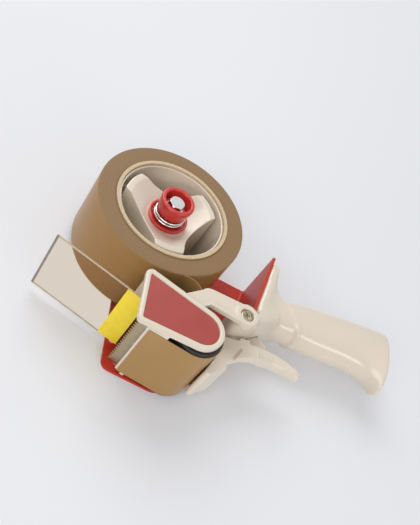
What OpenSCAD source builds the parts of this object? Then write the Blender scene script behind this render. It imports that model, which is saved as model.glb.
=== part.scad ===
// Hand-held packing tape dispenser with a pistol grip, lying on its side plate.
// X runs along the handle, Y towards the tape roll and Z along the roll's axle.
// The origin is the axle's centre line on the outer face of the side plate.

/* [Tape] */
// Width of the tape
tape_w = 50; // [46:1:52]
// Outside diameter of the wound tape
roll_d = 105.6; // [92:0.2:108]
// Bore of the card core
core_bore = 76; // [75:0.2:77]
// Wall of the card core
core_wall = 2.4; // [1.6:0.1:5]
// Length of core that stands out of the tape at each end
core_over = 1; // [0.2:0.1:1.5]
// Thickness of the tape strip
web_t = 0.4; // [0.2:0.05:0.6]
// Direction from the axle in which the strip peels off the roll
peel_angle = -79; // [-86:1:-74]
// Radius of the strip's bend where it peels off
peel_r = 10.5; // [9:0.5:12]
// Length of the strip along the sole, in front of the roller
sole_len = 28; // [26:0.5:28.5]
// Slope of the sole
sole_slope = 17.5; // [16:0.5:19]

/* [Roller] */
// Place of the roller's axle along the handle
roller_x = 20.5; // [19:0.5:22]
// Place of the roller's axle below the roll
roller_y = -92; // [-94:0.5:-91]
// Outside diameter of the rubber sleeve
roller_d = 33.2; // [31:0.2:34]
// Thickness of the rubber sleeve
sleeve_t = 3.6; // [2:0.2:5]
// Length of rubber beyond the tape at each end
roller_over = 2; // [1:0.1:2.5]
// Diameter of the roller's axle
axle_d = 6; // [5:0.5:8]
// Depth of the dishes in the ends of the roller's core
roller_dish = 8; // [4:1:12]

/* [Side plate] */
// Thickness of the steel sheet
plate_t = 2; // [1.5:0.1:2.5]
// Inside radius of the bend
bend_r = 2; // [1:0.5:3]
// Gap between the plate and the tape
roll_gap = 4; // [3.5:0.5:6]
// Radius of the plate's lobe round the hub
hub_lobe_r = 14.5; // [13:0.5:20]
// Radius of the plate's lobe round the roller's axle
roller_lobe_r = 13.5; // [10:0.5:15]
// Radius of the plate's lobe round the trigger's pin
pin_lobe_r = 4.1; // [3.8:0.1:5]
// Radius of the plate's front corner
front_corner_r = 6.3; // [4:0.1:8]
// Height of the flange above the plate's outer face
flange_w = 44; // [38:1:46]
// Length of the flange
flange_l = 54; // [50:1:55]
// Slant of the flange's top edge, from the bend to the free edge
flange_slant = 4; // [0:0.5:6]
// Lean of the flange
flange_tilt = 19.5; // [17:0.5:22]
// Place of the flange's top corner along the handle
flange_x = 86.6; // [85:0.2:90]
// Place of the flange's top corner across the handle
flange_y = -0.7; // [-3:0.1:1]

/* [Handle] */
// Height of the handle's middle above the plate's outer face
handle_z = 24; // [23:0.5:26]
// Length of the pad behind the flange
pad_l = 51; // [46:1:54]
// Width of the pad
pad_w = 41; // [36:1:42]
// Thickness of the pad
pad_t = 7; // [5:0.5:9]
// Height of the grip
grip_h = 32.6; // [28:0.2:36]
// Width of the grip
grip_w = 30; // [26:1:34]
// Line of the grip's back
grip_top = -22.4; // [-25:0.2:-20]
// Place of the ring in front of the grip
ring_x = 103; // [101:0.5:105]
// Length from the ring to the butt
grip_l = 78.5; // [72:0.5:90]
// Height by which the ring stands out below
ring_out = 2.6; // [1:0.1:3]
// Lean of the ring
ring_lean = 24; // [10:1:26]
// Growth of the grip's height towards the butt
grip_taper = 6.5; // [2:0.5:8]
// Height by which the heel drops below the grip
heel_drop = 14.5; // [8:0.5:18]
// Lean of the butt
butt_tilt = 11; // [6:0.5:14]
// Thickness of the nose under the arm's boss
nose_r = 5; // [4:0.2:6]

/* [Front housing] */
// Thickness of the near cheek
cheek_t = 3.9; // [3:0.1:5]
// Width of the cheek's rim
rim_w = 3.4; // [2.5:0.1:4.5]
// Depth of the recess for the panel
panel_depth = 1.8; // [1:0.1:2.4]
// Thickness of the panel
panel_t = 1; // [0.6:0.1:1.4]
// Radius of the cheek's round end
cheek_end_r = 15; // [13:0.5:16]
// Thickness of the arm
arm_t = 4; // [3:0.2:5]
// Radius of the arm's boss
boss_r = 7.9; // [7.5:0.1:9]
// Place of the boss along the handle
boss_x = 52.4; // [51.4:0.2:53]
// Place of the boss across the handle
boss_y = -71.2; // [-72:0.2:-70]
// Thickness of the shoe under the tape
shoe_t = 2.4; // [1.6:0.2:3]
// Diameter of the arm's screw
arm_screw_d = 4; // [3:0.5:5]

/* [Cutter and flap] */
// Place of the flap's root along the handle
flap_x = -13; // [-14:0.2:-12]
// Place of the flap's root across the handle
flap_y = -82; // [-83:0.2:-81]
// Direction in which the flap points
flap_angle = 154.5; // [150:0.5:158]
// Free length of the flap
flap_len = 67; // [50:1:75]
// Thickness of the flap
flap_t = 1.5; // [1:0.1:2]
// Length of the plain strip on the flap
strip_len = 14; // [8:0.5:20]
// Thickness of the blade
blade_t = 0.8; // [0.5:0.1:1.2]
// Length of the blade's teeth
tooth_h = 2.4; // [1.5:0.1:3]
// Pitch of the blade's teeth
tooth_pitch = 2.5; // [2:0.1:4]
// Distance of the blade below the flap
blade_drop = 10.5; // [9.5:0.1:11]

/* [Trigger] */
// Place of the trigger's pin along the handle
pin_x = 47.6; // [47:0.2:48.4]
// Place of the trigger's pin across the handle
pin_y = -90.2; // [-91:0.2:-89.8]
// Diameter of the trigger's pin
pin_d = 3; // [2.5:0.5:3.5]
// Width of the trigger's cross bar
bar_w = 37; // [32:1:38]
// Thickness of the trigger's near cheek
trigger_cheek_t = 6; // [4:0.5:8]
// Radius of the arch under the trigger
arch_r = 40; // [38:1:42]
// Thickness of the lever
lever_h = 9; // [7:0.5:10]
// Width of the lever
lever_w = 11; // [9:0.5:13]
// Angle through which the trigger is squeezed
squeeze = 6; // [4:0.5:7]

/* [Hub] */
// Thickness of the hub's drum
drum_t = 1.4; // [1.2:0.1:3]
// Length by which the drum stops short of the tape's near edge
drum_short = 0.5; // [0.5:0.5:6]
// Radius of the hub's arms
arm_r = 34; // [32:0.2:35]
// Radius of the notches between the arms
notch_r = 55; // [45:1:70]
// Distance of the notches from the axle
waist_r = 20; // [18:0.5:22]
// Depth of the dish in the hub's face
dish_depth = 10; // [6:0.5:12]
// Thickness of the hub's face
dish_t = 2.6; // [2:0.1:4]
// Radius of the flat in the middle of the dish
seat_r = 15; // [14.5:0.1:16]
// Radius of the hub's middle tube
tube_r = 10; // [9:0.5:12]
// Thickness of the friction disc under the hub
disc_t = 1.5; // [1:0.1:1.6]

/* [Tension knob] */
// Diameter of the hub bolt
bolt_d = 6; // [5:0.5:8]
// Width of the bolt's head across its flats
hex_af = 10; // [8:0.5:11]
// Height of the bolt's head
hex_h = 5.4; // [4:0.2:6]
// Outside diameter of the knob
knob_d = 24.2; // [22:0.2:26]
// Height of the knob
knob_h = 11; // [10:0.2:12]
// Wall of the knob round its recess
knob_wall = 3; // [2:0.1:3.4]
// Diameter of the cup under the spring
cup_d = 28.6; // [27:0.2:30]
// Height of the cup
cup_h = 2.8; // [2:0.2:3.6]
// Height of the spring
spring_h = 6.8; // [6:0.2:8]
// Thickness of the spring's wire
spring_wire = 1.5; // [1.2:0.1:1.6]
// Turns of the spring
spring_turns = 2.2; // [1.5:0.1:2.3]

/* [Hidden] */
$fn = 96;

// Clearances: a pin fixed in its hole, a turning shaft, and faces that stay apart
fit_gap = 0.05;
turn_gap = 0.08;
free_gap = 0.3;
// Length by which cuts run past a face
over = 1;

// Colours
cream = [0.87, 0.82, 0.75];
red = [0.72, 0.18, 0.13];
steel = [0.72, 0.72, 0.72];
dark_steel = [0.5, 0.48, 0.45];
black = [0.08, 0.08, 0.08];
brown = [0.6, 0.46, 0.3];
card = [0.82, 0.74, 0.62];

// Heights along the axle
tape_z = plate_t + roll_gap;
tape_top = tape_z + tape_w;
roll_r = roll_d / 2;
core_r = core_bore / 2 + core_wall;
roller_z = tape_z - roller_over;
roller_top = tape_top + roller_over;
cheek_z = roller_top + 2 * free_gap;
cheek_top = cheek_z + cheek_t;
arm_z = tape_top + 1;
arm_top = arm_z + arm_t;
nose_top = tape_top - 1;

// The roller and the strip of tape that runs round it
roller_c = [roller_x, roller_y];
roller_r = roller_d / 2;
web_in = roller_r + free_gap;
web_out = web_in + web_t;
peel_c = (roll_r + free_gap + web_t + peel_r) * [cos(peel_angle), sin(peel_angle)];
sole_n = [-sin(sole_slope), -cos(sole_slope)];
sole_d = [-cos(sole_slope), sin(sole_slope)];
sole_start = roller_c + web_in * sole_n;

// Outward normal of the straight side that joins two round corners [x, y, r]
function side_normal(a, b) =
    let (d = [b[0] - a[0], b[1] - a[1]], l = norm(d), u = d / l, s = (a[2] - b[2]) / l)
    let (c = sqrt(1 - s * s))
    [u[1] * c + u[0] * s, -u[0] * c + u[1] * s];

// Flat outline from corners [x, y, r] listed anticlockwise; a corner with r = 0 is sharp
module rounded(corners) {
    n = len(corners);
    polygon([for (i = [0 : n - 1])
        let (q = corners[i], c = [q[0], q[1]])
        each q[2] == 0 ? [c] :
             [c + q[2] * side_normal(corners[(i + n - 1) % n], q),
              c + q[2] * side_normal(q, corners[(i + 1) % n])]]);
    for (q = corners)
        if (q[2] > 0)
            translate([q[0], q[1]]) circle(r = q[2]);
}

// The corners of an outline, moved in by a margin
function inset(corners, margin, least) =
    [for (q = corners) [q[0], q[1], max(q[2] - margin, least)]];

// Point near the flange: n behind its rear face, s along it from the top corner
function on_flange(n, s) =
    [flange_x + n * cos(flange_tilt) + s * sin(flange_tilt),
     flange_y - n * sin(flange_tilt) + s * cos(flange_tilt)];

function keep_sign(v, p) = sign(v) * pow(abs(v), p);
function blend(a, b, f) = a + (b - a) * f;

// Ring of a loft: centre c and z, half height h, half width w, lean, squareness q
loft_sides = 32;
function ring(c, z, h, w, lean, q) =
    [for (i = [0 : loft_sides - 1])
        let (a = 360 * i / loft_sides)
        let (u = h * keep_sign(sin(a), 2 / q), v = w * keep_sign(cos(a), 2 / q))
        [c[0] + u * sin(lean), c[1] + u * cos(lean), z + v]];

// Solid skin over a row of rings with equal numbers of points
module loft(rings) {
    n = len(rings[0]);
    m = len(rings);
    last = (m - 1) * n;
    polyhedron(
        points = [for (r = rings) each r],
        faces = concat(
            [for (j = [0 : m - 2], i = [0 : n - 1])
                let (k = (i + 1) % n)
                each [[j * n + i, j * n + k, j * n + n + i],
                      [j * n + k, j * n + n + k, j * n + n + i]]],
            [for (i = [1 : n - 2]) [0, i + 1, i]],
            [for (i = [1 : n - 2]) [last, last + i, last + i + 1]]));
}

// Round wire wound on the axle's direction, standing on z = 0
coil_rings = 8;
wire_sides = 6;
function coil_point(r, wire, turns, height, f) =
    [r * cos(360 * turns * f), r * sin(360 * turns * f), wire / 2 + (height - wire) * f];
module coil(r, wire, turns, height) {
    steps = ceil(turns * coil_rings);
    rise = atan2((height - wire) / turns, 2 * PI * r);
    loft([for (j = [0 : steps])
        let (f = j / steps, a = 360 * turns * f, c = coil_point(r, wire, turns, height, f))
        [for (i = [0 : wire_sides - 1])
            let (b = 360 * i / wire_sides, u = wire / 2 * cos(b), v = wire / 2 * sin(b))
            c + u * [cos(a), sin(a), 0]
              + v * [sin(a) * sin(rise), -cos(a) * sin(rise), cos(rise)]]]);
}
// Least distance between the surfaces of neighbouring turns, measured on points
function coil_gap(r, wire, turns, height) =
    let (steps = 120)
    min([for (i = [0 : steps], j = [i : steps])
        if ((j - i) / steps * turns > 0.6)
            norm(coil_point(r, wire, turns, height, i / steps)
                - coil_point(r, wire, turns, height, j / steps)) - wire]);

// Steel side plate with the bent flange that carries the handle
bend_z = plate_t + bend_r;
bend_s = flange_slant * (1 - bend_z / flange_w);
plate_edge = -bend_z;
plate_corners = [
    [0, 0, hub_lobe_r],
    [-13.9, -92.8, front_corner_r],
    [roller_x - 5.5, roller_y - 0.4, roller_lobe_r],
    [pin_x, pin_y, pin_lobe_r],
    concat(on_flange(plate_edge, -flange_l), 0),
    concat(on_flange(plate_edge, -bend_s), 0)
];
// Round notch that clears the trigger's bar
notch_c = [pin_x - 9.1, pin_y - 14.8];
notch_in_r = 12.5;
nut_d = bolt_d + 4;
nut_floor = 1;
module bend_section() {
    translate([plate_edge, bend_z])
        intersection() {
            difference() {
                circle(r = bend_z);
                circle(r = bend_r);
            }
            translate([0, -bend_z]) square(bend_z);
        }
    translate([plate_edge - plate_t, 0]) square([plate_t + 0.01, plate_t]);
}
module side_plate() {
    color(red) difference() {
        union() {
            linear_extrude(plate_t) difference() {
                rounded(plate_corners);
                translate(notch_c) circle(r = notch_in_r);
            }
            translate([flange_x, flange_y, 0]) rotate([0, 0, -flange_tilt]) {
                translate([0, -bend_s, 0]) rotate([90, 0, 0])
                    linear_extrude(flange_l - bend_s) bend_section();
                translate([-plate_t, 0, 0]) rotate([90, 0, 90]) linear_extrude(plate_t)
                    polygon([[-bend_s, bend_z], [0, flange_w], [-flange_l, flange_w], [-flange_l, bend_z]]);
            }
        }
        translate([0, 0, -over]) cylinder(d = nut_d, h = plate_t + 2 * over);
        translate([roller_x, roller_y, -over])
            cylinder(d = axle_d + 2 * fit_gap, h = plate_t + 2 * over);
        translate([pin_x, pin_y, -over])
            cylinder(d = pin_d + 2 * fit_gap, h = plate_t + 2 * over);
        for (p = housing_screw_places)
            translate([p[0], p[1], 0]) sunk_screw(housing_screw_d, plate_t + over, fit_gap);
        for (q = handle_screw_places)
            from_flange(q) sunk_screw(handle_screw_d, plate_t + over, fit_gap);
    }
}

// Countersunk screw with its head's face at z = 0, pointing along +Z
module sunk_screw(d, len, gap) {
    head_h = d / 2;
    translate([0, 0, -gap]) cylinder(d1 = 2 * d + 2 * gap, d2 = d + 2 * gap, h = head_h + gap);
    cylinder(d = d + 2 * gap, h = len + gap);
}
// Cross recess cut into a screw head of diameter d at z = 0
module cross_recess(d, depth) {
    for (a = [0, 90])
        rotate(a) translate([-d * 0.3, -d * 0.07, -depth])
            cube([d * 0.6, d * 0.14, depth + over]);
}
// Places a child on the flange's front face, with +Z pointing through it to the rear
module from_flange(q) {
    p = on_flange(-plate_t, q[0]);
    translate([p[0], p[1], q[1]]) rotate([0, 0, -flange_tilt]) rotate([0, 90, 0]) children();
}

// Moulded handle: pad behind the flange, neck, ring, grip with a heel, and the nose
handle_screw_d = 4;
handle_screw_l = 14;
handle_screw_in = 8;
handle_screw_span = 22;
handle_screw_places = [for (k = [-1, 1])
    [handle_screw_in - flange_l, handle_z + k * handle_screw_span / 2]];
pad_drop = 2.5;
pad_edge = 2;
pad_square = 9;
neck_h = 31;
neck_w = 29;
neck_x = ring_x - 3;
grip_square = 2.3;
function pad_c(n) = on_flange(n, -pad_drop - pad_l / 2);
function pad_ring(n, cut) =
    ring(pad_c(n), handle_z, pad_l / 2 - cut, pad_w / 2 - cut, flange_tilt, pad_square - cut);
function neck_ring(f) =
    let (start = pad_c(pad_t), end = [neck_x, grip_top - neck_h / 2])
    let (g = 1 - f, c = [blend(start[0], end[0], f), end[1] + (start[1] - end[1]) * pow(g, 2.4)])
    ring(c, handle_z,
        neck_h / 2 + (pad_l / 2 - pad_edge - neck_h / 2) * pow(g, 4),
        neck_w / 2 + (pad_w / 2 - pad_edge - neck_w / 2) * pow(g, 4),
        flange_tilt * g * g - ring_lean * f * f,
        grip_square + (pad_square - pad_edge - grip_square) * g * g);
function grip_ring(f, x, cut, drop) =
    let (h = grip_h + drop + grip_taper * f + heel_drop * pow(f, 8))
    ring([x, grip_top - h / 2], handle_z, h / 2 - cut, grip_w / 2 + drop / 4 - cut,
        butt_tilt * pow(f, 3) - ring_lean * pow(max(0, 1 - 2.5 * f), 2), grip_square);
crease_l = 2;
butt_round = 3;
handle_rings = concat(
    [pad_ring(0, 0), pad_ring(pad_t - pad_edge, 0), pad_ring(pad_t - pad_edge * 0.3, pad_edge * 0.3)],
    [for (f = [0 : 0.125 : 1]) neck_ring(f)],
    [grip_ring(0, ring_x, 0, ring_out), grip_ring(0, ring_x + crease_l, 0, 0)],
    [for (f = [0.05 : 0.05 : 1.01]) grip_ring(f, ring_x + grip_l * f, 0, 0)],
    [for (a = [30 : 30 : 90])
        grip_ring(1, ring_x + grip_l + butt_round * sin(a), butt_round * (1 - cos(a)), 0)]);
// The nose reaches forward under the arm's boss, with room for the trigger's lobe
nose_z = plate_t + roll_gap;
nose_corners = [
    [boss_x - 2.4, boss_y + 5.2, nose_r],
    [boss_x - 1.4, boss_y + 1.6, nose_r],
    [boss_x + 8.6, boss_y + 3.8, nose_r],
    [boss_x + 7.6, boss_y + 8.7, nose_r]
];
function nose_ring(c, low, high, h, lean, q) =
    ring(c, (low + high) / 2, h, (high - low) / 2, lean, q);
nose_rings = [
    nose_ring([boss_x + 2.4, boss_y + 3], nose_z, nose_top - 0.3, nose_r, -15, 8),
    nose_ring([boss_x + 9.6, boss_y + 5.9], nose_z, nose_top - 1, nose_r + 0.6, -30, 7),
    nose_ring([boss_x + 18.6, boss_y + 11.7], nose_z, nose_top - 7, nose_r + 1, -38, 5),
    nose_ring([boss_x + 27.6, boss_y + 21.2], nose_z + 1, nose_top - 12, nose_r + 3.5, -35, 4),
    nose_ring([boss_x + 37.6, boss_y + 30.2], nose_z + 3, nose_top - 16, nose_r + 5, -20, 3)
];
lobe_room = 0.5;
module handle() {
    color(cream) difference() {
        union() {
            loft(handle_rings);
            loft(nose_rings);
            translate([0, 0, nose_z]) linear_extrude(nose_top - nose_z) rounded(nose_corners);
        }
        translate([0, 0, lobe_z - lobe_room]) linear_extrude(lobe_w + 2 * lobe_room)
            rounded(inset(swept_lobe, -lobe_room, 0));
        translate([boss_x, boss_y, nose_top - arm_screw_l])
            cylinder(d = arm_screw_d + 2 * fit_gap, h = arm_screw_l + over);
        for (q = handle_screw_places)
            from_flange(q) cylinder(d = handle_screw_d + 2 * fit_gap, h = plate_t + handle_screw_l);
    }
}
module handle_screws() {
    color(steel) for (q = handle_screw_places)
        from_flange(q) difference() {
            sunk_screw(handle_screw_d, handle_screw_l, 0);
            mirror([0, 0, 1]) cross_recess(handle_screw_d * 1.6, 1);
        }
}

// Front housing: near cheek, cross block under the flap, shoe under the tape, and arm
flap_c = [flap_x, flap_y];
flap_d = [cos(flap_angle), sin(flap_angle)];
flap_n = [-sin(flap_angle), cos(flap_angle)];
function on_flap(u, v) = flap_c + u * flap_d + v * flap_n;
module at_flap() {
    translate([flap_x, flap_y]) rotate(flap_angle) children();
}
block_front = -4.5;
block_back = -16;
blade_root = -12;
cheek_corners = [
    [-13.7, -64.5, 4.2],
    [-17.3, -96, 3.6],
    [roller_x, roller_y, cheek_end_r]
];
hump = [26.8, -65.2, 6.4];
arm_root = [12, -74, 6];
boss = [boss_x, boss_y, boss_r];
arm_rim_w = 2.6;
arm_rim_h = 1;
boss_bore_d = 2 * arm_screw_d + 1.4;
boss_floor = 2.4;
shoe_front = sole_len + 1.8;
shoe_back = 15.5;
housing_screw_d = 3;
housing_screw_l = 9;
housing_screw_places = [on_flap(-6.8, 5), on_flap(-13.4, 5)];
axle_seat_d = axle_d + 8;
axle_depth = 1.8;
module shoe_outline() {
    polygon([sole_start + shoe_back * sole_d, sole_start + shoe_front * sole_d,
             sole_start + (shoe_front - 1) * sole_d - shoe_t * sole_n,
             sole_start + shoe_back * sole_d - shoe_t * sole_n]);
}
block_low = 3.5;
block_clip = 0.8;
module block_outline() {
    reach = 2 * roller_d;
    start = sole_start - block_clip * sole_n;
    intersection() {
        at_flap() polygon([[block_front, 0], [block_front - 0.8, blade_drop], [blade_root, blade_drop],
                           [blade_root, blade_drop + block_low],
                           [block_back + 1, blade_drop + block_low - 0.3], [block_back, 0]]);
        polygon([start, start + reach * sole_d, start + reach * (sole_d - sole_n), start - reach * sole_n]);
    }
}
module wall_outline() {
    at_flap() polygon([[1.8, -flap_t], [5, -flap_t], [10.9, -13.6], [9.8, -16.6], [6.8, -16.8],
                       [7.6, -13.5]]);
}
module arm_outline() {
    rounded([hump, boss]);
    rounded([arm_root, hump - [0, 0, 0.5]]);
}
module front_housing() {
    color(cream) difference() {
        union() {
            translate([0, 0, cheek_z]) linear_extrude(cheek_t) rounded(cheek_corners);
            translate([0, 0, plate_t]) linear_extrude(cheek_z - plate_t + over) block_outline();
            translate([0, 0, tape_z]) linear_extrude(cheek_z - tape_z + over) shoe_outline();
            translate([0, 0, plate_t]) linear_extrude(cheek_z - plate_t + over) wall_outline();
            translate([0, 0, arm_z]) linear_extrude(arm_t - arm_rim_h) arm_outline();
            translate([0, 0, arm_z]) linear_extrude(arm_t) difference() {
                arm_outline();
                translate([1, 2.5]) arm_outline();
            }
            translate([boss_x, boss_y, nose_top]) cylinder(r = boss_r, h = arm_top - nose_top);
        }
        translate([0, 0, cheek_top - panel_depth])
            linear_extrude(panel_depth + over) rounded(inset(cheek_corners, rim_w, 0.6));
        translate([roller_x, roller_y, cheek_z - over])
            cylinder(d = axle_d + 2 * fit_gap, h = axle_depth + over);
        translate([roller_x, roller_y, arm_z - over])
            cylinder(r = roller_r + 2 * free_gap, h = roller_top + free_gap - arm_z + over);
        translate([boss_x, boss_y, nose_top + boss_floor]) cylinder(d = boss_bore_d, h = 2 * arm_t + over);
        translate([boss_x, boss_y, nose_top - over])
            cylinder(d = arm_screw_d + 2 * fit_gap, h = arm_t + 2 * over);
        for (p = housing_screw_places)
            translate([p[0], p[1], 0]) cylinder(d = housing_screw_d + 2 * fit_gap, h = housing_screw_l);
        for (z = rivet_places)
            blade_rivet_hole(z);
        for (z = rivet_places)
            flap_rivet_hole(z);
    }
}
module housing_screws() {
    color(steel) for (p = housing_screw_places)
        translate([p[0], p[1], 0]) difference() {
            sunk_screw(housing_screw_d, housing_screw_l, 0);
            mirror([0, 0, 1]) cross_recess(housing_screw_d * 1.6, 0.9);
        }
}

// Red panel in the cheek's recess
module cover_panel() {
    color(red) translate([0, 0, cheek_top - panel_depth])
        linear_extrude(panel_t) rounded(inset(cheek_corners, rim_w + 0.15, 0.45));
}

// Cross-head screw that holds the arm to the handle's nose
arm_screw_l = 14;
arm_head_h = 2.4;
module arm_screw() {
    color(steel) translate([boss_x, boss_y, nose_top + boss_floor]) difference() {
        union() {
            cylinder(d = 2 * arm_screw_d, h = arm_head_h);
            translate([0, 0, over - boss_floor - arm_screw_l])
                cylinder(d = arm_screw_d, h = arm_screw_l + boss_floor - over);
        }
        translate([0, 0, arm_head_h]) cross_recess(2 * arm_screw_d, 1.4);
    }
}

// Serrated blade between the block and the shoe
blade_z = plate_t + 2;
blade_w = cheek_z - blade_z - 1;
rivet_d = 2.4;
rivet_u = -9;
blade_rivet_l = 3.8;
flap_rivet_l = 3.2;
rivet_places = [tape_z + 6, tape_z + tape_w / 2, tape_top - 6];
teeth = floor(blade_w / tooth_pitch);
module blade_outline() {
    edge = (blade_w - teeth * tooth_pitch) / 2;
    polygon(concat([[blade_root + 0.2, 0], [blade_root + 0.2, blade_w], [-tooth_h, blade_w]],
        [for (i = [0 : teeth - 1])
            let (z = blade_w - edge - i * tooth_pitch)
            each [[-tooth_h, z], [0, z - tooth_pitch / 2]]],
        [[-tooth_h, edge], [-tooth_h, 0]]));
}
module on_blade() {
    at_flap() translate([0, blade_drop, 0]) rotate([90, 0, 0]) mirror([0, 0, 1]) children();
}
module blade_rivet_hole(z) {
    on_blade() translate([rivet_u, z, -blade_rivet_l - 0.2])
        cylinder(d = rivet_d + 2 * fit_gap, h = blade_rivet_l + 0.2 + over);
}
module blade() {
    color(dark_steel) difference() {
        on_blade() translate([0, blade_z, 0]) linear_extrude(blade_t) blade_outline();
        for (z = rivet_places)
            on_blade() translate([rivet_u, z, -over])
                cylinder(d = rivet_d + 2 * fit_gap, h = blade_t + 2 * over);
    }
}
module blade_rivets() {
    color(steel) for (z = rivet_places)
        on_blade() translate([rivet_u, z, -blade_rivet_l]) {
            cylinder(d = rivet_d, h = blade_rivet_l + blade_t);
            translate([0, 0, blade_rivet_l + blade_t]) cylinder(d1 = 2 * rivet_d, d2 = rivet_d, h = 0.5);
        }
}

// Clear flap on the block, clamped by a bar and rivets
flap_root = -15.5;
clamp_l = 8;
clamp_t = 1.5;
module on_flap_face() {
    at_flap() rotate([90, 0, 0]) mirror([0, 0, 1]) children();
}
module flap_rivet_hole(z) {
    on_flap_face() translate([rivet_u, z, -over])
        cylinder(d = rivet_d + 2 * fit_gap, h = flap_rivet_l + 0.2 + over);
}
module flap() {
    color([0.85, 0.82, 0.76, 0.5]) difference() {
        on_flap_face() translate([flap_root, tape_z, -flap_t]) cube([flap_len - flap_root, tape_w, flap_t]);
        for (z = rivet_places)
            on_flap_face() translate([rivet_u, z, -flap_t - over])
                cylinder(d = rivet_d + 2 * fit_gap, h = flap_t + 2 * over);
    }
}
module flap_clamp() {
    color(steel) difference() {
        on_flap_face() translate([rivet_u - clamp_l / 2, tape_z, -flap_t - clamp_t])
            cube([clamp_l, tape_w, clamp_t]);
        for (z = rivet_places)
            on_flap_face() translate([rivet_u, z, -flap_t - clamp_t - over])
                cylinder(d = rivet_d + 2 * fit_gap, h = clamp_t + 2 * over);
    }
}
module flap_rivets() {
    stem = flap_t + clamp_t;
    color(steel) for (z = rivet_places)
        on_flap_face() translate([rivet_u, z, -stem]) {
            cylinder(d = rivet_d, h = stem + flap_rivet_l);
            mirror([0, 0, 1]) cylinder(d1 = 2 * rivet_d, d2 = rivet_d, h = 0.7);
        }
}
module marker_strip() {
    color([1, 0.87, 0.15]) on_flap_face() translate([0.7, tape_z, 0]) cube([strip_len, tape_w, 0.2]);
}

// Roller: fixed axle, spacers, plastic core and rubber sleeve
roller_core_r = roller_r - sleeve_t;
spacer_d = axle_d + 5;
module roller_axle() {
    color(steel) translate([roller_x, roller_y, 0])
        cylinder(d = axle_d, h = cheek_z + axle_depth - 0.1);
}
module roller_washers() {
    color(steel) for (span = [[plate_t, roller_z], [roller_top, cheek_z]])
        translate([roller_x, roller_y, span[0]]) difference() {
            cylinder(d = spacer_d, h = span[1] - span[0] - 0.1);
            translate([0, 0, -over]) cylinder(d = axle_d + 2 * fit_gap, h = 2 * roll_gap + 2 * over);
        }
}
module roller_core() {
    rib_t = 2;
    dish_r = spacer_d / 2 + 0.5;
    color(cream) translate([roller_x, roller_y, 0]) difference() {
        union() {
            translate([0, 0, roller_z]) cylinder(r = roller_core_r, h = roller_top - roller_z);
        }
        translate([0, 0, roller_z - over])
            cylinder(d = axle_d + 2 * turn_gap, h = roller_top - roller_z + 2 * over);
        for (z = [roller_z - over, roller_top - roller_dish])
            translate([0, 0, z]) difference() {
                cylinder(r = roller_core_r - rib_t, h = roller_dish + over);
                translate([0, 0, -over]) cylinder(r = dish_r, h = roller_dish + 3 * over);
                for (a = [0 : 60 : 300])
                    rotate(a) translate([0, -rib_t / 2, -over])
                        cube([roller_core_r, rib_t, roller_dish + 3 * over]);
            }
    }
}
module roller_sleeve() {
    color(black) translate([roller_x, roller_y, roller_z]) difference() {
        cylinder(r = roller_r, h = roller_top - roller_z);
        translate([0, 0, -over]) cylinder(r = roller_core_r + fit_gap, h = roller_top - roller_z + 2 * over);
    }
}

// Trigger: cross bar behind the roller, near cheek with an arch, and finger lever
bar_z = plate_t + 2;
bar_top = bar_z + bar_w;
bar_corners = [
    [46, -79.2, 2],
    [40.2, -100.8, 1.6],
    [pin_x, pin_y, pin_d / 2 + 2.7],
    [56, -79.2, 2]
];
// Lip of the bar beside the tape, clear of the plate
lip_z = bar_z + 8;
lip_corners = [
    [45.2, -90, 2],
    [35.6, -106.2, 2.2],
    [46.2, -100, 2]
];
arch_c = [73.5, -87.5 - arch_r];
cheek_line = [
    [47.2, -81], [49, -77.8], [57.7, -76.8], [58.4, -74.8], [65.2, -74.6], [65.5, -77.2],
    [68, -78.8], [72, -81], [72, -85], [68, -88], [56, -94.5], [48, -96]
];
lobe = [74.4, -72.8, 8.2];
lobe_front = [67, -75.5, 3];
lobe_rear = [79.5, -76.6, 3];
lobe_corners = [lobe, lobe_front, lobe_rear];
function turned(p, c, a) =
    c + [cos(a) * (p[0] - c[0]) - sin(a) * (p[1] - c[1]), sin(a) * (p[0] - c[0]) + cos(a) * (p[1] - c[1])];
function squeezed(q) = concat(turned([q[0], q[1]], [pin_x, pin_y], squeeze), q[2]);
// Outline round the lobe over its whole travel
swept_lobe = [squeezed(lobe_front), lobe_rear, lobe, squeezed(lobe)];
lobe_z = 27;
lobe_w = 6;
lever_z = bar_top - lever_w / 2 - 7;
lever_tip = [109, -84];
lever_rings = [
    ring([60, -83.2], bar_top - 3.3, lever_h * 0.62, 3.2, -14, 6),
    ring([66, -81.9], bar_top - 3.9, lever_h * 0.58, 3.8, -13, 5),
    ring([71, -80.9], bar_top - 5.4, lever_h * 0.57, lever_w * 0.46, -11, 4),
    ring([77, -79.2], lever_z + 3.8, lever_h * 0.57, lever_w * 0.53, -6, 3.2),
    ring([87, -77.8], lever_z + 0.8, lever_h * 0.52, lever_w / 2, 3, 2.8),
    ring([96, -79.4], lever_z, lever_h * 0.47, lever_w * 0.46, 12, 2.6),
    ring(lever_tip - [4, -1.2], lever_z, lever_h * 0.42, lever_w * 0.4, 17, 2.6),
    ring(lever_tip - [1.2, -0.4], lever_z, lever_h * 0.35, lever_w * 0.33, 17, 2.6),
    ring(lever_tip, lever_z, lever_h * 0.2, lever_w * 0.18, 17, 2.6)
];
slot_w = 1.6;
slot_depth = 2;
slot_low = [53.3, -91.2];
slot_high = [58.9, -82.9];
spring_room_d = pin_d + 3.2;
spring_room_h = 7;
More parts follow.
